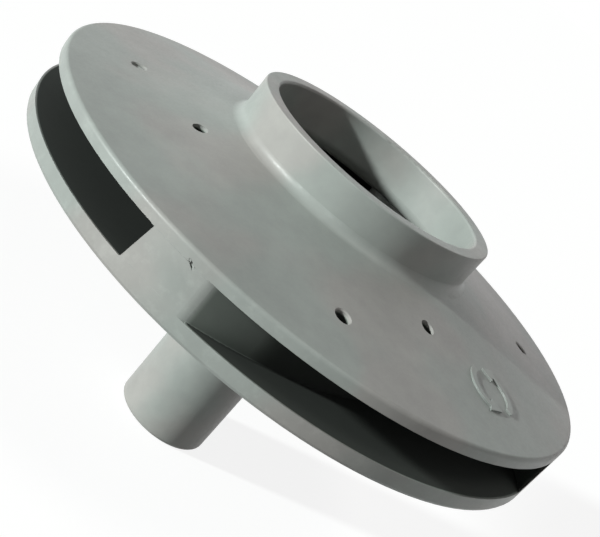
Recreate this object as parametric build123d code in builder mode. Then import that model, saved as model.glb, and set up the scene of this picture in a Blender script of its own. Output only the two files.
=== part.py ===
from build123d import *
from math import atan, cos, degrees, exp, log, pi, radians, sin, tan
import os

# Closed pump impeller, built as the two mouldings that are joined to make it.
# Axis on +Z towards the suction eye, origin at the centre of the hub's end face, millimetres.

# ---- outside of the wheel -------------------------------------------------------------
outer_radius = 70.0
rim_top_z = 64.4
shroud_rim_thickness = 2.6
slot_height = 8.9
back_plate_thickness = 3.85
vane_top_rim_z = rim_top_z - shroud_rim_thickness
floor_z = vane_top_rim_z - slot_height
back_z = floor_z - back_plate_thickness
shroud_edge_round = 0.9
plate_edge_reach = 0.8
plate_edge_break = 0.24
plate_land = 1.0
plate_land_top = back_z + plate_edge_reach + plate_land
seam_bevel = 0.06
bond_gap = 0.03

# ---- suction neck and the dished face around it ---------------------------------------
neck_radius = 30.9
eye_radius = 27.2
neck_height = 17.3
neck_top_z = rim_top_z + neck_height
dish_mid_radius = 52.1
dish_mid_rise = 3.1
dish_neck_rise = 8.1
shroud_thickness = 2.9
throat_drop = 2.0
neck_base_fillet = 2.5
neck_top_round = 0.3
eye_edge_round = 0.6
throat_round = 3.0

# ---- hub ------------------------------------------------------------------------------
hub_radius = 11.9
hub_root_fillet = 4.0
hub_end_round = 0.8
bore_radius = 6.0
bore_depth = 44.0
bore_mouth_bevel = 0.8
nose_radius = 13.0
nose_height = 9.0
nose_round = 5.0
nose_root_fillet = 3.5

# ---- vanes ----------------------------------------------------------------------------
vane_count = 4
vane_thickness = 6.9
vane_half = vane_thickness / 2
vane_draft = 5.5
vane_true_z = floor_z + 5.9
vane_tip_angle = 251.6
vane_inlet_radius = 30.5
vane_root_fillet = 0.4
spiral_rate = 0.522
vane_angle = degrees(atan(spiral_rate))
vane_stations = 8
tip_overrun = radians(6.0)
nose_turn = 0.1
vane_embed = 1.0
trim_stock = 1.0
clear_radius = outer_radius + 12.0
relief_reach = 0.9
relief_drop = 0.11

# ---- peg holes, two over each vane ----------------------------------------------------
hole_radius = 1.7
hole_bevel = 0.25
hole_depth_in_vane = 4.8
outer_hole_radius = 54.3
outer_hole_turn = 27.2
inner_hole_radius = 42.5
inner_hole_turn = 54.8

# ---- pit on the seam at one vane tip --------------------------------------------------
pit_angle = 254.1
pit_length = 2.3
pit_width = 0.6
pit_depth = 1.6
pit_slant = -34.0

# ---- raised sign that shows which way the wheel turns: two bent arrows in a ring --------
sign_place_radius = 54.4
sign_place_angle = 323.0
sign_radius = 5.3
sign_turn = 20.0
sign_sweep = 112.0
sign_width = 1.5
sign_height = 0.4
sign_head_length = 3.3
sign_head_width = 4.2
sign_head_lap = 0.2
sign_corner_round = 0.2

# How near an edge must be to a level or a radius to be picked by it, and how far a hole's
# mouth may be from a true circle in length.
pick_reach = 0.05
mouth_stretch = 1.2


def polar_point(radius, angle):
    """The plan point at a radius and an angle in radians."""
    return (radius * cos(angle), radius * sin(angle))


def spiral_point(turn, reach):
    """A point on a vane's middle line, or that far to one side of it."""
    angle = radians(vane_tip_angle) + turn
    middle = polar_point(outer_radius * exp(-spiral_rate * turn), angle)
    side = polar_point(reach, angle + radians(vane_angle))
    return (middle[0] + side[0], middle[1] + side[1])


def vane_plan(z):
    """One vane's plan at a height: the inner side leans, so that the moulding leaves its die."""
    inner_reach = (z - vane_true_z) * tan(radians(vane_draft)) - vane_half
    with BuildSketch(Plane.XY.offset(z)) as plan:
        with BuildLine():
            outer_side = Spline(*[spiral_point(t, vane_half) for t in turns])
            inner_side = Spline(*[spiral_point(t, inner_reach) for t in turns])
            Line(outer_side @ 0, inner_side @ 0)
            nose = spiral_point(last_turn + nose_turn, (vane_half + inner_reach) / 2)
            ThreePointArc(outer_side @ 1, nose, inner_side @ 1)
        make_face()
    return plan.sketch.face()


def plan_radius(edge):
    """How far the middle of an edge lies from the axis."""
    middle = edge @ 0.5
    return Vector(middle.X, middle.Y).length


first_turn = -tip_overrun
last_turn = log(outer_radius / vane_inlet_radius) / spiral_rate
turn_step = (last_turn - first_turn) / (vane_stations - 1)
turns = [first_turn + turn_step * i for i in range(vane_stations)]

# The blunt side of each vane tip is eased by a shallow arc from the rim onto the outer side.
corner_radius = outer_radius - vane_half * cos(radians(vane_angle))
corner_turn = log(outer_radius / corner_radius) / spiral_rate
corner_lag = vane_half * sin(radians(vane_angle)) / outer_radius
corner_angle = radians(vane_tip_angle) + corner_turn + corner_lag
relief_turn = relief_reach / outer_radius
relief_start = polar_point(outer_radius, corner_angle - relief_turn)
relief_mid = polar_point(outer_radius - relief_drop, corner_angle)
relief_end = spiral_point(corner_turn + relief_turn, vane_half)
relief_far_end = polar_point(outer_radius + trim_stock, corner_angle + 2 * relief_turn)
relief_far_start = polar_point(outer_radius + trim_stock, corner_angle - relief_turn)

# Section points of the front shroud: its dished top line, and the same line lower down.
rim_top = (outer_radius, rim_top_z)
dish_mid = (dish_mid_radius, rim_top_z + dish_mid_rise)
neck_base = (neck_radius, rim_top_z + dish_neck_rise)
neck_rim = (neck_radius, neck_top_z)
eye_rim = (eye_radius, neck_top_z)
throat = (eye_radius, rim_top_z + dish_neck_rise - throat_drop)
under_mid = (dish_mid_radius, rim_top_z + dish_mid_rise - shroud_thickness)
rim_under = (outer_radius, vane_top_rim_z)

# The vane tops follow the underside, a bond's thickness below it.
vane_top_rim = (outer_radius, rim_under[1] - bond_gap)
vane_top_mid = (dish_mid_radius, under_mid[1] - bond_gap)
vane_top_throat = (eye_radius, throat[1] - bond_gap)

# ---- vanes: logarithmic spirals with a round nose, trimmed under the shroud -------------
with BuildPart() as vane:
    loft([vane_plan(floor_z - vane_embed), vane_plan(throat[1] + vane_embed)], ruled=True)

with BuildPart() as vanes:
    with PolarLocations(0, vane_count):
        add(vane.part)
    with BuildSketch(Plane.XZ):
        with BuildLine():
            ThreePointArc(vane_top_rim, vane_top_mid, vane_top_throat)
            Polyline(
                vane_top_throat,
                (eye_radius - vane_thickness, vane_top_throat[1]),
                (eye_radius - vane_thickness, neck_top_z),
                (clear_radius, neck_top_z),
                (clear_radius, vane_top_rim[1]),
                vane_top_rim,
            )
        make_face()
    revolve(axis=Axis.Z, mode=Mode.SUBTRACT)

# ---- cutter for the peg holes: bores that end inside the vanes ---------------------------
with BuildPart() as peg_holes:
    for radius, turn in [(outer_hole_radius, outer_hole_turn), (inner_hole_radius, inner_hole_turn)]:
        rise = (outer_radius - radius) / (outer_radius - dish_mid_radius) * dish_mid_rise
        with Locations((0, 0, vane_top_rim_z + rise - hole_depth_in_vane)):
            with PolarLocations(radius, vane_count, start_angle=vane_tip_angle + turn):
                Cylinder(hole_radius, neck_height, align=(Align.CENTER, Align.CENTER, Align.MIN))

# ---- cutter for the pit: a slanted slot sunk in the rim on the seam -----------------------
pit_centre = polar_point(outer_radius, radians(pit_angle))
pit_out = polar_point(1, radians(pit_angle))
pit_plane = Plane(
    origin=(*pit_centre, vane_top_rim_z),
    x_dir=(-pit_out[1], pit_out[0], 0),
    z_dir=(*pit_out, 0),
)
with BuildPart() as pit:
    with BuildSketch(pit_plane):
        SlotOverall(pit_length, pit_width, rotation=pit_slant)
    extrude(amount=pit_depth, both=True)

# ---- raised sign: two bent arrows in a ring, a thin skin over the dished face -------------
head_base = radians(sign_sweep)
head_lap = head_base - sign_head_lap / sign_radius
head_point = head_base + sign_head_length / sign_radius
with BuildSketch() as bent_arrow:
    with BuildLine():
        CenterArc((0, 0), sign_radius, 0, sign_sweep)
    trace(line_width=sign_width)
    with BuildLine():
        Polyline(
            polar_point(sign_radius - sign_head_width / 2, head_lap),
            polar_point(sign_radius + sign_head_width / 2, head_lap),
            polar_point(sign_radius, head_point),
            close=True,
        )
    make_face()
    fillet(bent_arrow.vertices(), sign_corner_round)

with BuildPart() as sign:
    with BuildSketch(Plane.XY.offset(rim_top_z)):
        with Locations(polar_point(sign_place_radius, radians(sign_place_angle))):
            with PolarLocations(0, 2, start_angle=sign_place_angle + sign_turn):
                add(bent_arrow.sketch)
    extrude(amount=neck_height)
    with BuildSketch(Plane.XZ):
        with BuildLine():
            raised_arc = ThreePointArc(
                (rim_top[0], rim_top[1] + sign_height),
                (dish_mid[0], dish_mid[1] + sign_height),
                (neck_base[0], neck_base[1] + sign_height),
            )
            Polyline(raised_arc @ 1, (neck_radius, rim_top_z), (outer_radius, rim_top_z), raised_arc @ 0)
        make_face()
    revolve(axis=Axis.Z, mode=Mode.INTERSECT)

# ---- back plate, hub and vanes: the rear moulding ---------------------------------------
with BuildPart() as impeller_body:
    with BuildSketch(Plane.XZ) as section:
        with BuildLine():
            Polyline(
                (0, bore_depth),
                (0, floor_z + nose_height),
                (nose_radius, floor_z + nose_height),
                (nose_radius, floor_z),
                (outer_radius + trim_stock, floor_z),
                (outer_radius + trim_stock, plate_land_top),
                (outer_radius, plate_land_top),
                (outer_radius, back_z + plate_edge_reach),
                (outer_radius - plate_edge_break, back_z + plate_edge_break),
                (outer_radius - plate_edge_reach, back_z),
                (hub_radius, back_z),
                (hub_radius, 0),
                (bore_radius, 0),
                (bore_radius, bore_depth),
                (0, bore_depth),
            )
        make_face()
        fillet(section.vertices().sort_by_distance((nose_radius, floor_z + nose_height, 0))[0], nose_round)
        fillet(section.vertices().sort_by_distance((nose_radius, floor_z, 0))[0], nose_root_fillet)
        fillet(section.vertices().sort_by_distance((hub_radius, back_z, 0))[0], hub_root_fillet)
        fillet(section.vertices().sort_by_distance((hub_radius, 0, 0))[0], hub_end_round)
        chamfer(section.vertices().sort_by_distance((bore_radius, 0, 0))[0], bore_mouth_bevel)
    revolve(axis=Axis.Z)
    add(vanes.part)
    with BuildSketch(Plane.XY.offset(plate_land_top)):
        Circle(clear_radius)
        Circle(outer_radius, mode=Mode.SUBTRACT)
    extrude(amount=neck_top_z, mode=Mode.SUBTRACT)
    floor_edges = impeller_body.edges().filter_by_position(Axis.Z, floor_z - pick_reach, floor_z + pick_reach)
    root_start = nose_radius + nose_root_fillet + vane_embed
    vane_roots = floor_edges.filter_by(lambda e: root_start < plan_radius(e) < outer_radius - pick_reach)
    fillet(vane_roots, vane_root_fillet)
    with BuildSketch(Plane.XY.offset(floor_z)):
        with PolarLocations(0, vane_count):
            with BuildLine():
                ThreePointArc(relief_start, relief_mid, relief_end)
                Polyline(relief_end, relief_far_end, relief_far_start, relief_start)
            make_face()
    extrude(amount=neck_height, mode=Mode.SUBTRACT)
    add(peg_holes.part, mode=Mode.SUBTRACT)
    add(pit.part, mode=Mode.SUBTRACT)

# ---- front shroud with the suction neck: the front moulding ------------------------------
with BuildPart() as front_shroud:
    with BuildSketch(Plane.XZ) as section:
        with BuildLine():
            ThreePointArc(rim_top, dish_mid, neck_base)
            Polyline(neck_base, neck_rim, eye_rim, throat)
            ThreePointArc(throat, under_mid, rim_under)
            Line(rim_under, rim_top)
        make_face()
        fillet(section.vertices().sort_by_distance((*neck_base, 0))[0], neck_base_fillet)
        fillet(section.vertices().sort_by_distance((*neck_rim, 0))[0], neck_top_round)
        fillet(section.vertices().sort_by_distance((*eye_rim, 0))[0], eye_edge_round)
        fillet(section.vertices().sort_by_distance((*throat, 0))[0], throat_round)
        fillet(section.vertices().sort_by_distance((*rim_top, 0))[0], shroud_edge_round)
        chamfer(section.vertices().sort_by_distance((*rim_under, 0))[0], seam_bevel)
    revolve(axis=Axis.Z)
    add(peg_holes.part, mode=Mode.SUBTRACT)
    # Each ring of holes leaves a lower and an upper ring of mouths; the upper ones are bevelled.
    outer_edges = front_shroud.edges().filter_by(lambda e: plan_radius(e) > neck_radius)
    girth = 2 * pi * hole_radius
    ring_edges = outer_edges.filter_by(lambda e: 1 / mouth_stretch < e.length / girth < mouth_stretch)
    mouths = ring_edges.group_by(Axis.Z)
    chamfer(mouths[1] + mouths[3], hole_bevel)
    add(pit.part, mode=Mode.SUBTRACT)
    add(sign.part)

impeller_body.part.label = "impeller_body"
front_shroud.part.label = "front_shroud"

os.makedirs("parts", exist_ok=True)
export_step(impeller_body.part, "parts/impeller_body.step")
export_step(front_shroud.part, "parts/front_shroud.step")
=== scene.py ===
"""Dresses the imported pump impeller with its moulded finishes, marks, light and camera."""
import logging
from dataclasses import dataclass, field
from enum import Enum
from math import cos, hypot, pi, radians, sin, tan
from typing import Dict, List, Optional, Sequence, Tuple

import bmesh
import bpy
from mathutils import Matrix, Vector, noise


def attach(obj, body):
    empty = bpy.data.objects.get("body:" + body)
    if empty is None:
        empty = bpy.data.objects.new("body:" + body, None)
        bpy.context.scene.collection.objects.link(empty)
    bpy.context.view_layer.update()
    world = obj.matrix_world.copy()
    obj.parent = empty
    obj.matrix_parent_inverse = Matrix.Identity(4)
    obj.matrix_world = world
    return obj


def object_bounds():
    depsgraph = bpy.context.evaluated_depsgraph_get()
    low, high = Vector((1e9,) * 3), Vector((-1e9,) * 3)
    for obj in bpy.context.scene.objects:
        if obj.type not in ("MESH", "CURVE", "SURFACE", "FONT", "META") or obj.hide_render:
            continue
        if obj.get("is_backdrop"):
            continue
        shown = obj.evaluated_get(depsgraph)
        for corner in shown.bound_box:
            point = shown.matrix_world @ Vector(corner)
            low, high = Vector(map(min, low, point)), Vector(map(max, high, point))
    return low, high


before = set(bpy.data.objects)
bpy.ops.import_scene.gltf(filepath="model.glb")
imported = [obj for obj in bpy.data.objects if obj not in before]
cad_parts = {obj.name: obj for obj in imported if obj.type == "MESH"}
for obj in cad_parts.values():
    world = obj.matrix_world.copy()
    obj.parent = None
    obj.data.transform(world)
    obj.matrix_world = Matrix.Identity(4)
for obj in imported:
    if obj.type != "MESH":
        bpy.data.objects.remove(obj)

LOG = logging.getLogger("impeller")

MM = 0.001

Colour = Tuple[float, float, float]
Point = Tuple[float, float, float]
Span = Tuple[float, float]
Links = Optional[Dict[object, object]]

WHITE = (1.0, 1.0, 1.0, 1.0)
FLOOR_SLACK = 0.02 * MM


class Slot(Enum):
    """Material slots of the record."""

    BODY = "body_grey"


class Node(Enum):
    """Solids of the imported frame."""

    BODY = "impeller_body"
    SHROUD = "front_shroud"


@dataclass(frozen=True)
class Wheel:
    """The wheel's own levels and radii, in metres, which marks and finishes are placed by."""

    outer_radius: float = 70.0 * MM
    neck_radius: float = 30.9 * MM
    eye_radius: float = 27.2 * MM
    neck_top: float = 81.7 * MM
    rim_top: float = 64.4 * MM
    seam: float = 61.8 * MM
    floor: float = 52.9 * MM
    vane_count: int = 4
    tip_angle: float = radians(251.6)
    pit_angle: float = radians(254.1)
    outer_hole: Span = (54.3 * MM, radians(27.2))
    inner_hole: Span = (42.5 * MM, radians(54.8))
    hole_radius: float = 1.7 * MM
    dish_mid_radius: float = 52.1 * MM
    dish_mid_rise: float = 3.1 * MM
    dish_neck_rise: float = 8.1 * MM

    def dish(self) -> Span:
        """Works out how the dished face rises from the rim.

        Returns:
            Its slope at the rim, and how fast the slope grows inwards.
        """
        run_mid = self.outer_radius - self.dish_mid_radius
        run_neck = self.outer_radius - self.neck_radius
        bend = (self.dish_neck_rise / run_neck - self.dish_mid_rise / run_mid) / (run_neck - run_mid)
        return self.dish_mid_rise / run_mid - bend * run_mid, bend

    def face_level(self, radius: float) -> float:
        """Works out the height of the dished face.

        Args:
            radius: Distance from the axis.

        Returns:
            The height of the face there.
        """
        slope, bend = self.dish()
        run = self.outer_radius - radius
        return self.rim_top + slope * run + bend * run * run


WHEEL = Wheel()


@dataclass(frozen=True)
class EffectSizes:
    """How far the shared effects reach, and between which values of their patterns they grow."""

    pattern_shift: Point = (0.31, 0.17, 0.53)
    pattern_range: Span = (0.3, 0.7)
    upright: float = 0.5
    # The fields from here to eye_fade place the painted shade of the passages.
    floor_dim: Span = (0.08 * MM, 0.7 * MM)
    wall_edge_dim: Span = (0.15 * MM, 1.0 * MM)
    wall_edge_level: float = 0.6
    wall_deep_dim: Span = (1.5 * MM, 10.0 * MM)
    eye_fade: float = 12.0 * MM
    # hole_slack and hole_dark place the painted shade of the peg holes.
    hole_slack: float = 1.04
    hole_dark: Span = (-0.45 * MM, -1.2 * MM)
    # The next three fields place the rubbing marks and painted highlight of the rims and the neck's lip.
    rim_rub_highlight: Span = (1.1 * MM, 0.5 * MM)
    lip_rub_highlight: Span = (0.5 * MM, 0.1 * MM)
    rub_highlight_spots: Span = (0.5, 0.68)
    # The sign fields place the painted highlight on the sign's tops and the painted shade on its sides.
    sign_height: float = 0.4 * MM
    sign_band: Span = (45.0 * MM, 63.5 * MM)
    sign_top: Span = (0.85, 0.97)
    sign_side: Span = (0.05, 0.2)


EFFECT = EffectSizes()


# ---------------------------------------------------------------- shader helpers


def new_group(name: str, inputs: Dict[str, float], outputs: Sequence[str]) -> bpy.types.ShaderNodeTree:
    """Makes an empty shader node group whose sockets are all single values.

    Args:
        name: Name of the group.
        inputs: Name and default of each input.
        outputs: Names of the outputs.

    Returns:
        The node tree, holding its input and output nodes.
    """
    tree = bpy.data.node_groups.new(name, "ShaderNodeTree")
    for label, value in inputs.items():
        socket = tree.interface.new_socket(name=label, in_out="INPUT", socket_type="NodeSocketFloat")
        socket.default_value = value
    for label in outputs:
        tree.interface.new_socket(name=label, in_out="OUTPUT", socket_type="NodeSocketFloat")
    tree.nodes.new("NodeGroupInput").name = "In"
    tree.nodes.new("NodeGroupOutput").name = "Out"
    return tree


def add_node(tree: bpy.types.NodeTree, kind: str, links: Links = None, **values: object) -> bpy.types.Node:
    """Adds a node, sets its properties and fills its inputs.

    Args:
        tree: Node tree that gets the node.
        kind: Blender's name of the node type.
        links: For each input, by name or number, the socket or value it takes.
        values: Properties of the node itself.

    Returns:
        The new node.
    """
    node = tree.nodes.new(kind)
    for key, value in values.items():
        setattr(node, key, value)
    for key, source in (links or {}).items():
        if isinstance(source, bpy.types.NodeSocket):
            tree.links.new(source, node.inputs[key])
        else:
            node.inputs[key].default_value = source
    return node


def math_node(tree: bpy.types.NodeTree, operation: str, *operands: object) -> bpy.types.NodeSocket:
    """Adds a maths node.

    Args:
        tree: Node tree that gets the node.
        operation: Blender's name of the operation.
        operands: Socket or value of each input.

    Returns:
        The result socket.
    """
    node = add_node(tree, "ShaderNodeMath", dict(enumerate(operands)), operation=operation)
    return node.outputs[0]


def ramp(
    tree: bpy.types.NodeTree, value: bpy.types.NodeSocket, start: float, end: float,
    low: float = 0.0, high: float = 1.0,
) -> bpy.types.NodeSocket:
    """Maps a value smoothly from one range to another.

    Args:
        tree: Node tree that gets the node.
        value: Socket with the value.
        start: Value at which the result is low.
        end: Value at which the result is high.
        low: Result at and before the start.
        high: Result at and after the end.

    Returns:
        The result socket.
    """
    node = add_node(tree, "ShaderNodeMapRange", {
        "Value": value, "From Min": start, "From Max": end, "To Min": low, "To Max": high,
    }, interpolation_type="SMOOTHSTEP")
    return node.outputs["Result"]


@dataclass
class Place:
    """Sockets that say where on the wheel a point is."""

    x: bpy.types.NodeSocket
    y: bpy.types.NodeSocket
    z: bpy.types.NodeSocket
    radius: bpy.types.NodeSocket
    whole: bpy.types.NodeSocket

    @classmethod
    def read(cls, tree: bpy.types.NodeTree) -> "Place":
        """Adds the nodes that read the point's place.

        Args:
            tree: Node tree that gets the nodes.

        Returns:
            The place's sockets.
        """
        whole = add_node(tree, "ShaderNodeTexCoord").outputs["Object"]
        parts = add_node(tree, "ShaderNodeSeparateXYZ", {0: whole}).outputs
        flat = add_node(tree, "ShaderNodeCombineXYZ", {0: parts[0], 1: parts[1], 2: 0.0})
        length = add_node(tree, "ShaderNodeVectorMath", {0: flat.outputs[0]}, operation="LENGTH")
        return cls(parts[0], parts[1], parts[2], length.outputs["Value"], whole)

    def inside_rim(self, tree: bpy.types.NodeTree, depths: Span, high: float = 1.0) -> bpy.types.NodeSocket:
        """Changes smoothly between two depths inside the rim.

        Args:
            tree: Node tree that gets the nodes.
            depths: Depth at which the result is 0, and the depth at which it is high.
            high: Result at the second depth and beyond.

        Returns:
            The result socket.
        """
        rim = WHEEL.outer_radius
        return ramp(tree, self.radius, rim - depths[0], rim - depths[1], 0.0, high)

    def above_face(self, tree: bpy.types.NodeTree) -> bpy.types.NodeSocket:
        """Works out how far a point stands above the dished face.

        Args:
            tree: Node tree that gets the nodes.

        Returns:
            The height above the face, below it as a negative number.
        """
        slope, bend = WHEEL.dish()
        run = math_node(tree, "SUBTRACT", WHEEL.outer_radius, self.radius)
        growth = math_node(tree, "MULTIPLY_ADD", run, bend, slope)
        level = math_node(tree, "MULTIPLY_ADD", run, growth, WHEEL.rim_top)
        return math_node(tree, "SUBTRACT", self.z, level)


# ---------------------------------------------------------------- shared effects


@dataclass
class Effects:
    """The shader node groups that the finishes share."""

    mottle: bpy.types.ShaderNodeTree
    # shade paints shade in the passages, pegs paints shade in the peg holes, the group after pegs paints
    # rubbing marks with a highlight on the edges, and sign paints a highlight and shade on the sign.
    shade: bpy.types.ShaderNodeTree
    pegs: bpy.types.ShaderNodeTree
    rub_and_highlight: bpy.types.ShaderNodeTree
    sign: bpy.types.ShaderNodeTree

    @classmethod
    def build(cls) -> "Effects":
        """Builds every shared group once.

        Returns:
            The groups.
        """
        return cls(
            cls.mottle_group(), cls.shade_group(), cls.peg_group(), cls.rub_and_highlight_group(), cls.sign_group(),
        )

    @staticmethod
    def mottle_group() -> bpy.types.ShaderNodeTree:
        """Builds the cloudy tone and hue and the fine grain of moulded plastic.

        Returns:
            A group with cloud, hue, grain and swirl masks, each about 0 to 1.
        """
        sizes = {"Cloud scale": 45.0, "Hue scale": 38.0, "Grain scale": 1500.0}
        tree = new_group("moulded_mottle", sizes, ["Cloud", "Hue", "Grain", "Swirl"])
        wanted = tree.nodes["In"].outputs
        place = Place.read(tree)
        moved = add_node(tree, "ShaderNodeVectorMath", {
            0: place.whole, 1: EFFECT.pattern_shift,
        }, operation="ADD")
        fields = {
            "Cloud": (place.whole, wanted["Cloud scale"], 3.0, 0.5),
            "Hue": (moved.outputs[0], wanted["Hue scale"], 2.0, 0.45),
            "Grain": (place.whole, wanted["Grain scale"], 2.0, 0.6),
            "Swirl": (moved.outputs[0], math_node(tree, "MULTIPLY", wanted["Cloud scale"], 5.0), 4.0, 0.6),
        }
        for label, (where, scale, detail, rough) in fields.items():
            made = add_node(tree, "ShaderNodeTexNoise", {
                "Vector": where, "Scale": scale, "Detail": detail, "Roughness": rough,
            })
            tree.links.new(made.outputs["Fac"], tree.nodes["Out"].inputs[label])
        return tree

    @staticmethod
    def shade_group() -> bpy.types.ShaderNodeTree:
        """Builds the painted shade of the passages between the plates, by place on the wheel.

        A floor is dim from just inside the rim. A standing wall grows dim in two steps, a short
        one at the rim and a long one behind it. Both clear again towards the eye.

        Returns:
            A group whose mask is 1 deep in a passage and 0 on the outside.
        """
        # Painted shade: this mask darkens passage floors and walls where shade falls between the plates.
        tree = new_group("passage_painted_shade", {"Lowest": WHEEL.floor, "Highest": WHEEL.seam}, ["Inside"])
        levels = tree.nodes["In"].outputs
        place = Place.read(tree)
        lean = add_node(tree, "ShaderNodeNewGeometry").outputs["True Normal"]
        upward = math_node(tree, "ABSOLUTE", add_node(tree, "ShaderNodeSeparateXYZ", {0: lean}).outputs[2])
        flat = math_node(tree, "GREATER_THAN", upward, EFFECT.upright)
        at_floor = place.inside_rim(tree, EFFECT.floor_dim)
        wall_edge = place.inside_rim(tree, EFFECT.wall_edge_dim, EFFECT.wall_edge_level)
        wall_deep = place.inside_rim(tree, EFFECT.wall_deep_dim)
        at_wall = math_node(tree, "MAXIMUM", wall_edge, wall_deep)
        from_rim = math_node(tree, "MAXIMUM", math_node(tree, "MULTIPLY", at_floor, flat), at_wall)
        from_eye = ramp(tree, place.radius, WHEEL.eye_radius, WHEEL.eye_radius + EFFECT.eye_fade)
        above = math_node(tree, "GREATER_THAN", place.z, levels["Lowest"])
        below = math_node(tree, "LESS_THAN", place.z, levels["Highest"])
        level = math_node(tree, "MULTIPLY", above, below)
        reach = math_node(tree, "MULTIPLY", from_rim, from_eye)
        tree.links.new(math_node(tree, "MULTIPLY", level, reach), tree.nodes["Out"].inputs["Inside"])
        return tree

    @staticmethod
    def peg_group() -> bpy.types.ShaderNodeTree:
        """Builds the painted shade inside the peg holes, from their distance to each hole's own axis.

        Returns:
            A group whose mask is 1 within a hole, where the shade is painted.
        """
        # Painted shade: this mask darkens the walls of the peg holes below the face.
        tree = new_group("peg_hole_painted_shade", {"Reach": WHEEL.hole_radius * EFFECT.hole_slack}, ["Hole"])
        reach = tree.nodes["In"].outputs["Reach"]
        place = Place.read(tree)
        angle = math_node(tree, "ARCTAN2", place.y, place.x)
        share = 2 * pi / WHEEL.vane_count
        found = []
        for radius, turn in (WHEEL.outer_hole, WHEEL.inner_hole):
            away = math_node(tree, "SUBTRACT", angle, WHEEL.tip_angle + turn + share / 2)
            folded = math_node(tree, "SUBTRACT", math_node(tree, "FLOORED_MODULO", away, share), share / 2)
            along = math_node(tree, "MULTIPLY", math_node(tree, "SINE", folded), place.radius)
            across = math_node(tree, "MULTIPLY", math_node(tree, "COSINE", folded), place.radius)
            out = math_node(tree, "SUBTRACT", across, radius)
            squares = (math_node(tree, "MULTIPLY", side, side) for side in (along, out))
            far = math_node(tree, "SQRT", math_node(tree, "ADD", *squares))
            found.append(math_node(tree, "LESS_THAN", far, reach))
        deep = ramp(tree, place.above_face(tree), *EFFECT.hole_dark)
        mask = math_node(tree, "MULTIPLY", math_node(tree, "MAXIMUM", *found), deep)
        tree.links.new(mask, tree.nodes["Out"].inputs["Hole"])
        return tree

    @staticmethod
    def rub_and_highlight_group() -> bpy.types.ShaderNodeTree:
        """Builds the marks of rubbing on rims and edges, together with a painted highlight along them.

        Returns:
            A group whose mask is 1 where the surface is worn by rubbing and carries the painted highlight.
        """
        tree = new_group("rubbed_and_highlit_edges", {"Scratch scale": 260.0}, ["Rubbed"])
        scale = tree.nodes["In"].outputs["Scratch scale"]
        place = Place.read(tree)
        patches = add_node(tree, "ShaderNodeTexNoise", {
            "Vector": place.whole, "Scale": scale, "Detail": 5.0, "Roughness": 0.7,
        })
        # Rubbing marks with a painted highlight: the outermost rim and the neck's lip are lightened in
        # noisy spots.
        rim = place.inside_rim(tree, EFFECT.rim_rub_highlight)
        lip = ramp(tree, place.z, WHEEL.neck_top - EFFECT.lip_rub_highlight[0], WHEEL.neck_top - EFFECT.lip_rub_highlight[1])
        spots = ramp(tree, patches.outputs["Fac"], *EFFECT.rub_highlight_spots)
        edge = math_node(tree, "MAXIMUM", rim, lip)
        tree.links.new(math_node(tree, "MULTIPLY", edge, spots), tree.nodes["Out"].inputs["Rubbed"])
        return tree

    @staticmethod
    def sign_group() -> bpy.types.ShaderNodeTree:
        """Builds the masks of the raised turning sign, from its height above the dished face.

        Returns:
            A group with a mask of the sign's tops, which get a painted highlight, and one of its sides,
            which get painted shade.
        """
        tree = new_group("turning_sign", {"Height": EFFECT.sign_height}, ["Top", "Side"])
        height = tree.nodes["In"].outputs["Height"]
        place = Place.read(tree)
        share = math_node(tree, "DIVIDE", place.above_face(tree), height)
        inner = math_node(tree, "GREATER_THAN", place.radius, EFFECT.sign_band[0])
        outer = math_node(tree, "LESS_THAN", place.radius, EFFECT.sign_band[1])
        reach = math_node(tree, "MULTIPLY", inner, outer)
        # Painted highlight on the sign's tops and painted shade on its sides, by height above the face.
        top = math_node(tree, "MULTIPLY", ramp(tree, share, *EFFECT.sign_top), reach)
        raised = math_node(tree, "MULTIPLY", ramp(tree, share, *EFFECT.sign_side), reach)
        tree.links.new(top, tree.nodes["Out"].inputs["Top"])
        tree.links.new(math_node(tree, "SUBTRACT", raised, top), tree.nodes["Out"].inputs["Side"])
        return tree


# ---------------------------------------------------------------- finishes


def blank_plastic(name: str, specular: float) -> Tuple[bpy.types.Material, bpy.types.Node]:
    """Makes a material that holds only its output and its shader.

    Args:
        name: Name of the material.
        specular: Specular level of the plastic.

    Returns:
        The material and its shader node.
    """
    made = bpy.data.materials.new(name)
    made.use_nodes = True
    tree = made.node_tree
    tree.nodes.clear()
    out = tree.nodes.new("ShaderNodeOutputMaterial")
    shader = add_node(tree, "ShaderNodeBsdfPrincipled", {"Specular IOR Level": specular})
    tree.links.new(shader.outputs["BSDF"], out.inputs["Surface"])
    return made, shader


def swing(
    tree: bpy.types.NodeTree, pattern: bpy.types.NodeSocket, middle: float, by: float,
) -> bpy.types.NodeSocket:
    """Turns a pattern into a level that swings about a middle value.

    Args:
        tree: Node tree that gets the node.
        pattern: Socket of the pattern, about 0 to 1.
        middle: Middle of the level.
        by: How far the level goes to either side.

    Returns:
        The level's socket.
    """
    return ramp(tree, pattern, *EFFECT.pattern_range, middle - by, middle + by)


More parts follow.
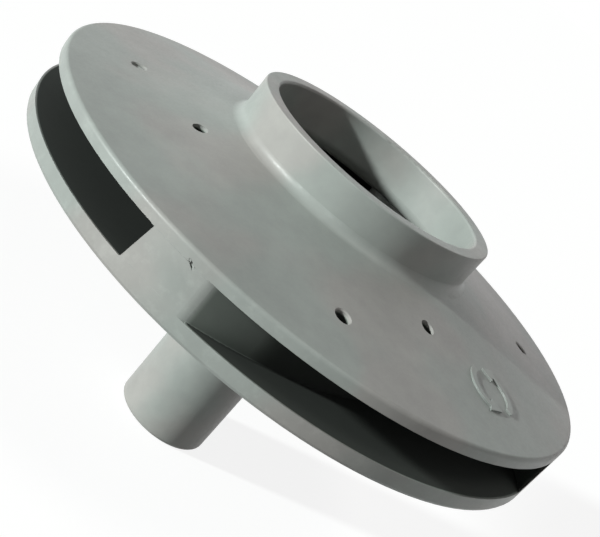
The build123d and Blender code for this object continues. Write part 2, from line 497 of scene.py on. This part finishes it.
@dataclass(frozen=True)
class MouldedPlastic:
    """Satin grey moulded plastic with cloudy tone, fine grain, rims worn by rubbing with a painted
    highlight, painted shade in the passages and peg holes, and a painted highlight and painted shade on the
    raised sign.
    """

    name: str
    pale: Colour = (0.292, 0.312, 0.296)
    warm: Colour = (0.318, 0.309, 0.296)
    # The next colour is the greener colour of the painted shade deep in passages and peg holes.
    deep: Colour = (0.275, 0.335, 0.283)
    hue_range: Span = (0.4, 0.6)
    roughness: float = 0.44
    roughness_swing: float = 0.05
    rubbed_roughness: float = 0.12
    specular: float = 0.42
    tone_swing: float = 0.07
    swirl_swing: float = 0.035
    grain_bump: float = 0.10
    bump_height: float = 0.06 * MM
    swirl_share: float = 1.5
    # Lift of the painted highlight on rims worn by rubbing and on the sign's tops, and the painted shade on
    # the sign's sides.
    rub_highlight_lift: float = 0.10
    sign_top_highlight: float = 0.12
    sign_side_shade: float = 0.30
    # Colour level of the painted shade deep in the passages, and the heights it spans.
    passage_shade_level: float = 0.075
    passage_lowest: float = WHEEL.floor
    passage_highest: float = WHEEL.seam
    walls_only: bool = False
    underside_lean: float = -0.2
    # Colour level of the painted shade in the peg holes.
    peg_shade_level: float = 0.03

    def build(self, effects: Effects) -> bpy.types.Material:
        """Builds the material.

        Args:
            effects: The shared node groups.

        Returns:
            The finished material.
        """
        made, shader = blank_plastic(self.name, self.specular)
        tree = made.node_tree
        pattern = add_node(tree, "ShaderNodeGroup", node_tree=effects.mottle).outputs
        rub_and_highlight_mask = add_node(tree, "ShaderNodeGroup", node_tree=effects.rub_and_highlight).outputs["Rubbed"]
        hue = ramp(tree, pattern["Hue"], *self.hue_range)
        tone = swing(tree, pattern["Cloud"], 1.0, self.tone_swing)
        swirl = swing(tree, pattern["Swirl"], 1.0, self.swirl_swing)
        # Rims worn by rubbing get a painted highlight; the sign's tops get a painted highlight and its
        # sides painted shade.
        lift = math_node(tree, "MULTIPLY_ADD", rub_and_highlight_mask, self.rub_highlight_lift, 1.0)
        marked = add_node(tree, "ShaderNodeGroup", node_tree=effects.sign).outputs
        lift = math_node(tree, "MULTIPLY_ADD", marked["Top"], self.sign_top_highlight, lift)
        lift = math_node(tree, "MULTIPLY_ADD", marked["Side"], -self.sign_side_shade, lift)
        level = math_node(tree, "MULTIPLY", math_node(tree, "MULTIPLY", tone, swirl), lift)
        # Painted shade of the passages and peg holes darkens the colour and turns it greener.
        painted_shade_level = self.painted_shade_level(tree, effects)
        level = math_node(tree, "MULTIPLY", level, painted_shade_level)
        mixed = self.mix_colours(tree, hue, painted_shade_level)
        coloured = add_node(tree, "ShaderNodeVectorMath", {0: mixed, 1: level}, operation="MULTIPLY")
        tree.links.new(coloured.outputs[0], shader.inputs["Base Color"])
        gloss = swing(tree, pattern["Grain"], self.roughness, self.roughness_swing)
        gloss = math_node(tree, "MULTIPLY_ADD", rub_and_highlight_mask, self.rubbed_roughness, gloss)
        dullness = math_node(tree, "SUBTRACT", 1.0, painted_shade_level)
        gloss = math_node(tree, "MAXIMUM", gloss, dullness)
        tree.links.new(gloss, shader.inputs["Roughness"])
        height = math_node(tree, "MULTIPLY_ADD", pattern["Swirl"], self.swirl_share, pattern["Grain"])
        bump = add_node(tree, "ShaderNodeBump", {
            "Strength": self.grain_bump, "Distance": self.bump_height, "Height": height,
        })
        tree.links.new(bump.outputs["Normal"], shader.inputs["Normal"])
        return made

    def mix_colours(
        self, tree: bpy.types.NodeTree, hue: bpy.types.NodeSocket, painted_shade_level: bpy.types.NodeSocket,
    ) -> bpy.types.NodeSocket:
        """Blends the pale and the warm grey, and turns them greener where shade is painted deep in a
        passage or peg hole.

        Args:
            tree: Node tree of the material.
            hue: Socket that is 0 for the pale grey and 1 for the warm one.
            painted_shade_level: Socket that is near 0 in the dark and 1 in the open.

        Returns:
            The blended colour.
        """
        node = tree.nodes.new("ShaderNodeMix")
        node.data_type = "RGBA"
        tree.links.new(hue, node.inputs[0])
        node.inputs[6].default_value = (*self.pale, 1.0)
        node.inputs[7].default_value = (*self.warm, 1.0)
        deeper = tree.nodes.new("ShaderNodeMix")
        deeper.data_type = "RGBA"
        tree.links.new(painted_shade_level, deeper.inputs[0])
        deeper.inputs[6].default_value = (*self.deep, 1.0)
        tree.links.new(node.outputs[2], deeper.inputs[7])
        return deeper.outputs[2]

    def painted_shade_level(self, tree: bpy.types.NodeTree, effects: Effects) -> bpy.types.NodeSocket:
        """Works out the painted shade of each point for being in a passage or a peg hole.

        Args:
            tree: Node tree of the material.
            effects: The shared node groups.

        Returns:
            A level from near 0 in the dark to 1 in the open.
        """
        inside = add_node(tree, "ShaderNodeGroup", {
            "Lowest": self.passage_lowest, "Highest": self.passage_highest,
        }, node_tree=effects.shade).outputs["Inside"]
        hole = add_node(tree, "ShaderNodeGroup", node_tree=effects.pegs).outputs["Hole"]
        lean = add_node(tree, "ShaderNodeNewGeometry").outputs["True Normal"]
        upward = add_node(tree, "ShaderNodeSeparateXYZ", {0: lean}).outputs[2]
        if self.walls_only:
            underside = math_node(tree, "LESS_THAN", upward, self.underside_lean)
            inside = math_node(tree, "MULTIPLY", inside, underside)
            wall = math_node(tree, "LESS_THAN", math_node(tree, "ABSOLUTE", upward), EFFECT.upright)
            hole = math_node(tree, "MULTIPLY", hole, wall)
        shut = ramp(tree, inside, 0.0, 1.0, 1.0, self.passage_shade_level)
        pit = ramp(tree, hole, 0.0, 1.0, 1.0, self.peg_shade_level)
        return math_node(tree, "MINIMUM", shut, pit)


@dataclass(frozen=True)
class FlashPlastic:
    """The same plastic where it has squeezed out: smoother, with a little more shine."""

    name: str
    colour: Colour = (0.30, 0.31, 0.295)
    roughness: float = 0.36
    roughness_swing: float = 0.06
    specular: float = 0.45
    tone_swing: float = 0.08
    swirl_bump: float = 0.15
    bump_height: float = 0.05 * MM

    def build(self, effects: Effects) -> bpy.types.Material:
        """Builds the material.

        Args:
            effects: The shared node groups.

        Returns:
            The finished material.
        """
        made, shader = blank_plastic(self.name, self.specular)
        tree = made.node_tree
        pattern = add_node(tree, "ShaderNodeGroup", node_tree=effects.mottle).outputs
        level = swing(tree, pattern["Swirl"], 1.0, self.tone_swing)
        coloured = add_node(tree, "ShaderNodeVectorMath", {0: self.colour, 1: level}, operation="MULTIPLY")
        tree.links.new(coloured.outputs[0], shader.inputs["Base Color"])
        gloss = swing(tree, pattern["Grain"], self.roughness, self.roughness_swing)
        tree.links.new(gloss, shader.inputs["Roughness"])
        bump = add_node(tree, "ShaderNodeBump", {
            "Strength": self.swirl_bump, "Distance": self.bump_height, "Height": pattern["Swirl"],
        })
        tree.links.new(bump.outputs["Normal"], shader.inputs["Normal"])
        return made


# ---------------------------------------------------------------- small marks of the moulding


def skin_mesh(name: str, points: Sequence[Point], faces: Sequence[Sequence[int]]) -> bpy.types.Object:
    """Makes a smooth-shaded mesh object.

    Args:
        name: Name of the object.
        points: Vertices in metres.
        faces: Vertex numbers of each face.

    Returns:
        The new object, linked to the scene.
    """
    mesh = bpy.data.meshes.new(name)
    mesh.from_pydata([tuple(p) for p in points], [], [tuple(f) for f in faces])
    sheet = bmesh.new()
    sheet.from_mesh(mesh)
    bmesh.ops.recalc_face_normals(sheet, faces=sheet.faces)
    sheet.to_mesh(mesh)
    sheet.free()
    mesh.polygons.foreach_set("use_smooth", [True] * len(mesh.polygons))
    made = bpy.data.objects.new(name, mesh)
    bpy.context.collection.objects.link(made)
    return made


@dataclass
class PegFlash:
    """Bond squeezed up into one peg hole, which leaves a shallow dimple instead of a bore."""

    turn: float = WHEEL.outer_hole[1] - 2 * pi / WHEEL.vane_count
    radius: float = WHEEL.outer_hole[0]
    half_width: float = WHEEL.hole_radius * 0.985
    sunk: float = 0.55 * MM
    dimple: float = 0.55 * MM
    thickness: float = 1.2 * MM
    unevenness: float = 0.06 * MM
    lumps: float = 1400.0
    rings: int = 8
    spokes: int = 32

    def build(self, effects: Effects) -> bpy.types.Object:
        """Builds the plug: a dimpled top, a wall and a plain underside.

        Args:
            effects: The shared node groups.

        Returns:
            The plug.
        """
        angle = WHEEL.tip_angle + self.turn
        middle = Vector((self.radius * cos(angle), self.radius * sin(angle), 0.0))
        points: List[Vector] = []
        for ring in range(1, self.rings + 1):
            reach = ring / self.rings
            for spoke in range(self.spokes):
                way = 2 * pi * spoke / self.spokes
                at = middle + Vector((cos(way), sin(way), 0.0)) * self.half_width * reach
                points.append(Vector((at.x, at.y, self.top_level(at, reach))))
        crown = Vector((middle.x, middle.y, self.top_level(middle, 0.0)))
        base_level = WHEEL.face_level(self.radius) - self.sunk - self.thickness
        base = [Vector((p.x, p.y, base_level)) for p in points[-self.spokes:]]
        faces: List[Sequence[int]] = []
        for ring in range(self.rings):
            for spoke in range(self.spokes):
                after = (spoke + 1) % self.spokes
                low, high = ring * self.spokes, (ring + 1) * self.spokes
                faces.append((low + spoke, low + after, high + after, high + spoke))
        points += base
        crown_number = len(points)
        points.append(crown)
        faces += [(crown_number, (s + 1) % self.spokes, s) for s in range(self.spokes)]
        under = self.rings * self.spokes
        faces.append([under + s for s in range(self.spokes)])
        made = skin_mesh("peg_flash", points, faces)
        made.data.materials.append(FlashPlastic("peg_flash_plastic").build(effects))
        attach(made, "root")
        LOG.info("built %s at %.1f mm from the axis", made.name, self.radius / MM)
        return made

    def top_level(self, at: Vector, reach: float) -> float:
        """Works out the height of the dimpled top.

        Args:
            at: Point in plan.
            reach: How far out the point is, 0 at the middle and 1 at the wall.

        Returns:
            The height of the top there.
        """
        uneven = noise.noise(at * self.lumps) * self.unevenness
        bowl = self.dimple * (1.0 - reach * reach)
        return WHEEL.face_level(hypot(at.x, at.y)) - self.sunk - bowl + uneven * (1.0 - reach)


@dataclass
class SeamBead:
    """A thin line of flash or bond along the rim, uneven like what is squeezed out of a joint."""

    name: str
    start: float
    end: float
    level: float
    level_drift: float = 0.0
    width: float = 0.34 * MM
    proud: float = 0.0
    thinnest: float = 0.12
    lumpiness: float = 0.25
    lumps: float = 9.0
    wander: float = 0.05 * MM
    bends: float = 7.0
    bend_place: float = 3.0
    stations: int = 36
    sides: int = 10

    def build(self, effects: Effects) -> bpy.types.Object:
        """Sweeps the bead along the rim, thinning it towards both ends.

        Args:
            effects: The shared node groups.

        Returns:
            The bead.
        """
        points: List[Point] = []
        faces: List[Sequence[int]] = []
        for station in range(self.stations + 1):
            share = station / self.stations
            angle = self.start + (self.end - self.start) * share
            swell = sin(pi * share) ** 0.5 if 0 < share < 1 else 0.0
            lump = 1.0 + self.lumpiness * noise.noise((share * self.lumps, 0.0, 0.0))
            half = self.width / 2 * (self.thinnest + (1.0 - self.thinnest) * swell) * lump
            out = WHEEL.outer_radius - half + self.proud
            bend = self.wander * noise.noise((share * self.bends, self.bend_place, 0.0))
            level = self.level + self.level_drift * share + bend
            for side in range(self.sides):
                way = 2 * pi * side / self.sides
                radius = out + half * cos(way)
                points.append((radius * cos(angle), radius * sin(angle), level + half * sin(way)))
        for station in range(self.stations):
            for side in range(self.sides):
                after = (side + 1) % self.sides
                low, high = station * self.sides, (station + 1) * self.sides
                faces.append((low + side, low + after, high + after, high + side))
        faces.append(list(range(self.sides)))
        last = self.stations * self.sides
        faces.append([last + side for side in range(self.sides)])
        made = skin_mesh(self.name, points, faces)
        made.data.materials.append(FlashPlastic(self.name + "_plastic").build(effects))
        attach(made, "root")
        LOG.info("built %s", made.name)
        return made


@dataclass
class TipBeads:
    """Two fine lines of flash across one vane's tip, just above the floor of the plate."""

    level: float = 53.4 * MM
    long_span: Span = (radians(246.6), radians(250.6))
    short_span: Span = (radians(251.4), radians(254.4))
    short_width: float = 0.24 * MM

    def build(self, effects: Effects) -> None:
        """Builds the long bead and the thinner short one.

        Args:
            effects: The shared node groups.
        """
        SeamBead("tip_bead", *self.long_span, self.level).build(effects)
        SeamBead("tip_bead_end", *self.short_span, self.level, width=self.short_width).build(effects)


@dataclass
class PitFlash:
    """Flash that closes both ends of the slanted pit on the seam and leaves it shallow between."""

    angle: float = WHEEL.pit_angle
    level: float = WHEEL.seam
    slant: float = radians(-34.0)
    reach: float = 1.35 * MM
    open_half: float = 0.40 * MM
    end_depth: float = 0.02 * MM
    floor_depth: float = 0.32 * MM
    floor_width: float = 1.5 * MM
    end_width: float = 2.4 * MM

    def build(self, effects: Effects) -> None:
        """Lays one bead over the pit's floor and a higher one over each end.

        Args:
            effects: The shared node groups.
        """
        fall = tan(self.slant)
        for name, start, end, depth, width in (
            ("pit_flash", -self.reach, self.reach, self.floor_depth, self.floor_width),
            ("pit_flash_a", -self.reach, -self.open_half, self.end_depth, self.end_width),
            ("pit_flash_b", self.open_half, self.reach, self.end_depth, self.end_width),
        ):
            SeamBead(
                name, self.angle + start / WHEEL.outer_radius, self.angle + end / WHEEL.outer_radius,
                self.level + fall * start, level_drift=fall * (end - start),
                width=width, proud=-depth,
            ).build(effects)


@dataclass
class TipSeams:
    """Bond that fills the fine seam over each vane's tip, broken at the pit."""

    level: float = WHEEL.seam
    width: float = 0.17 * MM
    before: float = radians(6.3)
    after: float = radians(6.1)
    pit_angle: float = WHEEL.pit_angle
    pit_half: float = radians(0.75)

    def spans(self) -> List[Tuple[str, float, float]]:
        """Lists where the bond runs.

        Returns:
            The name, start angle and end angle of each length of bond.
        """
        found = []
        for number in range(WHEEL.vane_count):
            tip = WHEEL.tip_angle + 2 * pi * number / WHEEL.vane_count
            start, end = tip - self.before, tip + self.after
            if start < self.pit_angle < end:
                found.append((f"seam_bond_{number + 1}a", start, self.pit_angle - self.pit_half))
                found.append((f"seam_bond_{number + 1}b", self.pit_angle + self.pit_half, end))
            else:
                found.append((f"seam_bond_{number + 1}", start, end))
        return found

    def build(self, effects: Effects) -> None:
        """Builds every length of bond.

        Args:
            effects: The shared node groups.
        """
        for name, start, end in self.spans():
            SeamBead(name, start, end, self.level, width=self.width).build(effects)


# ---------------------------------------------------------------- studio


@dataclass(frozen=True)
class SunLamp:
    """A far lamp with slightly soft shadows."""

    name: str
    azimuth: float
    elevation: float
    strength: float
    width: float
    colour: Colour = (1.0, 1.0, 1.0)

    def build(self) -> bpy.types.Object:
        """Adds the lamp, shining from its azimuth and elevation towards the wheel.

        Returns:
            The lamp.
        """
        data = bpy.data.lights.new(self.name, "SUN")
        data.energy = self.strength
        data.angle = radians(self.width)
        data.color = self.colour
        made = bpy.data.objects.new(self.name, data)
        turn, rise = radians(self.azimuth), radians(self.elevation)
        towards = Vector((cos(rise) * cos(turn), cos(rise) * sin(turn), sin(rise)))
        made.rotation_euler = towards.to_track_quat("Z", "Y").to_euler()
        bpy.context.collection.objects.link(made)
        return made


@dataclass
class Studio:
    """Floor, backdrop, lamps and camera."""

    eye: Point = (-0.02341, -0.25268, 0.13446)
    right: Point = (0.78056, 0.21700, 0.58621)
    up: Point = (-0.62477, 0.30040, 0.72071)
    back: Point = (-0.01971, -0.92880, 0.37006)
    lens: float = 69.85
    shift: Span = (0.19, 0.0)
    nearest_seen: float = 0.01
    lamps: Sequence[SunLamp] = (
        SunLamp("key", 207.0, 14.0, 4.6, 4.0, (0.94, 1.0, 0.975)),
        SunLamp("face", 320.0, 65.0, 0.45, 20.0, (1.0, 0.97, 0.93)),
    )
    room_level: float = 0.07
    floor_half: float = 6.0
    floor_bounce: float = 0.60
    floor_shown: float = 0.25
    floor_glow: float = 0.86

    def camera(self) -> bpy.types.Object:
        """Places the camera and makes it the scene's own.

        Returns:
            The camera.
        """
        data = bpy.data.cameras.new("camera")
        data.lens = self.lens
        data.sensor_fit = "HORIZONTAL"
        data.shift_x, data.shift_y = self.shift
        data.clip_start = self.nearest_seen
        made = bpy.data.objects.new("camera", data)
        bpy.context.collection.objects.link(made)
        turn = Matrix((self.right, self.up, self.back)).transposed()
        made.matrix_world = Matrix.Translation(self.eye) @ turn.to_4x4()
        bpy.context.scene.camera = made
        return made

    def light(self) -> None:
        """Adds the lamps and the even light of the room."""
        for lamp in self.lamps:
            lamp.build()
        world = bpy.data.worlds.new("room")
        world.use_nodes = True
        tree = world.node_tree
        tree.nodes.clear()
        room = add_node(tree, "ShaderNodeBackground", {"Color": WHITE, "Strength": self.room_level})
        plain = add_node(tree, "ShaderNodeBackground", {"Color": WHITE, "Strength": 1.0})
        mixed = add_node(tree, "ShaderNodeMixShader", {
            0: self.seen(tree), 1: room.outputs[0], 2: plain.outputs[0],
        })
        out = tree.nodes.new("ShaderNodeOutputWorld")
        tree.links.new(mixed.outputs[0], out.inputs["Surface"])
        bpy.context.scene.world = world

    @staticmethod
    def seen(tree: bpy.types.NodeTree) -> bpy.types.NodeSocket:
        """Tells rays that show the background from rays that only light the wheel.

        Args:
            tree: Node tree that gets the nodes.

        Returns:
            A socket that is 1 for camera, glossy and transmission rays.
        """
        path = add_node(tree, "ShaderNodeLightPath").outputs
        shown = math_node(tree, "MAXIMUM", path["Is Camera Ray"], path["Is Transmission Ray"])
        return math_node(tree, "MAXIMUM", shown, path["Is Glossy Ray"])

    def floor(self, level: float) -> bpy.types.Object:
        """Lays the pale floor.

        Args:
            level: Height of the floor.

        Returns:
            The floor.
        """
        half = self.floor_half
        mesh = bpy.data.meshes.new("floor")
        corners = [(-half, -half, level), (half, -half, level), (half, half, level), (-half, half, level)]
        mesh.from_pydata(corners, [], [(0, 1, 2, 3)])
        made = bpy.data.objects.new("floor", mesh)
        bpy.context.collection.objects.link(made)
        paint = bpy.data.materials.new("floor_white")
        paint.use_nodes = True
        tree = paint.node_tree
        tree.nodes.clear()
        bounce = add_node(tree, "ShaderNodeBsdfDiffuse", {"Color": (*[self.floor_bounce] * 3, 1)})
        matt = add_node(tree, "ShaderNodeBsdfDiffuse", {"Color": (*[self.floor_shown] * 3, 1)})
        glow = add_node(tree, "ShaderNodeEmission", {"Color": WHITE, "Strength": self.floor_glow})
        both = add_node(tree, "ShaderNodeAddShader", {0: matt.outputs[0], 1: glow.outputs[0]})
        mixed = add_node(tree, "ShaderNodeMixShader", {
            0: self.seen(tree), 1: bounce.outputs[0], 2: both.outputs[0],
        })
        out = tree.nodes.new("ShaderNodeOutputMaterial")
        tree.links.new(mixed.outputs[0], out.inputs["Surface"])
        mesh.materials.append(paint)
        made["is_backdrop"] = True
        return made


# ---------------------------------------------------------------- the wheel


@dataclass
class Mouldings:
    """The two mouldings of the wheel and their finishes."""

    body: MouldedPlastic = field(default_factory=lambda: MouldedPlastic(
        "body_plastic", passage_lowest=WHEEL.floor - FLOOR_SLACK, passage_highest=WHEEL.neck_top))
    shroud: MouldedPlastic = field(default_factory=lambda: MouldedPlastic(
        "shroud_plastic", passage_lowest=WHEEL.floor, passage_highest=WHEEL.neck_top, walls_only=True))

    def dress(self, effects: Effects) -> None:
        """Gives both solids of the frame their finishes.

        Args:
            effects: The shared node groups.
        """
        for node, finish in ((Node.BODY, self.body), (Node.SHROUD, self.shroud)):
            material = finish.build(effects)
            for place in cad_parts[node.value].material_slots:
                place.material = material
            LOG.info("dressed %s with %s", node.value, material.name)


def main() -> None:
    """Builds the whole scene."""
    logging.basicConfig(level=logging.INFO)
    frame_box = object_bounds()
    effects = Effects.build()
    Mouldings().dress(effects)
    for marks in (PegFlash(), TipBeads(), PitFlash(), TipSeams()):
        marks.build(effects)
    studio = Studio()
    studio.camera()
    studio.light()
    studio.floor(frame_box[0].z)
    bpy.context.scene.view_settings.view_transform = "Standard"
    bpy.context.view_layer.update()


if __name__ == "__main__":
    main()
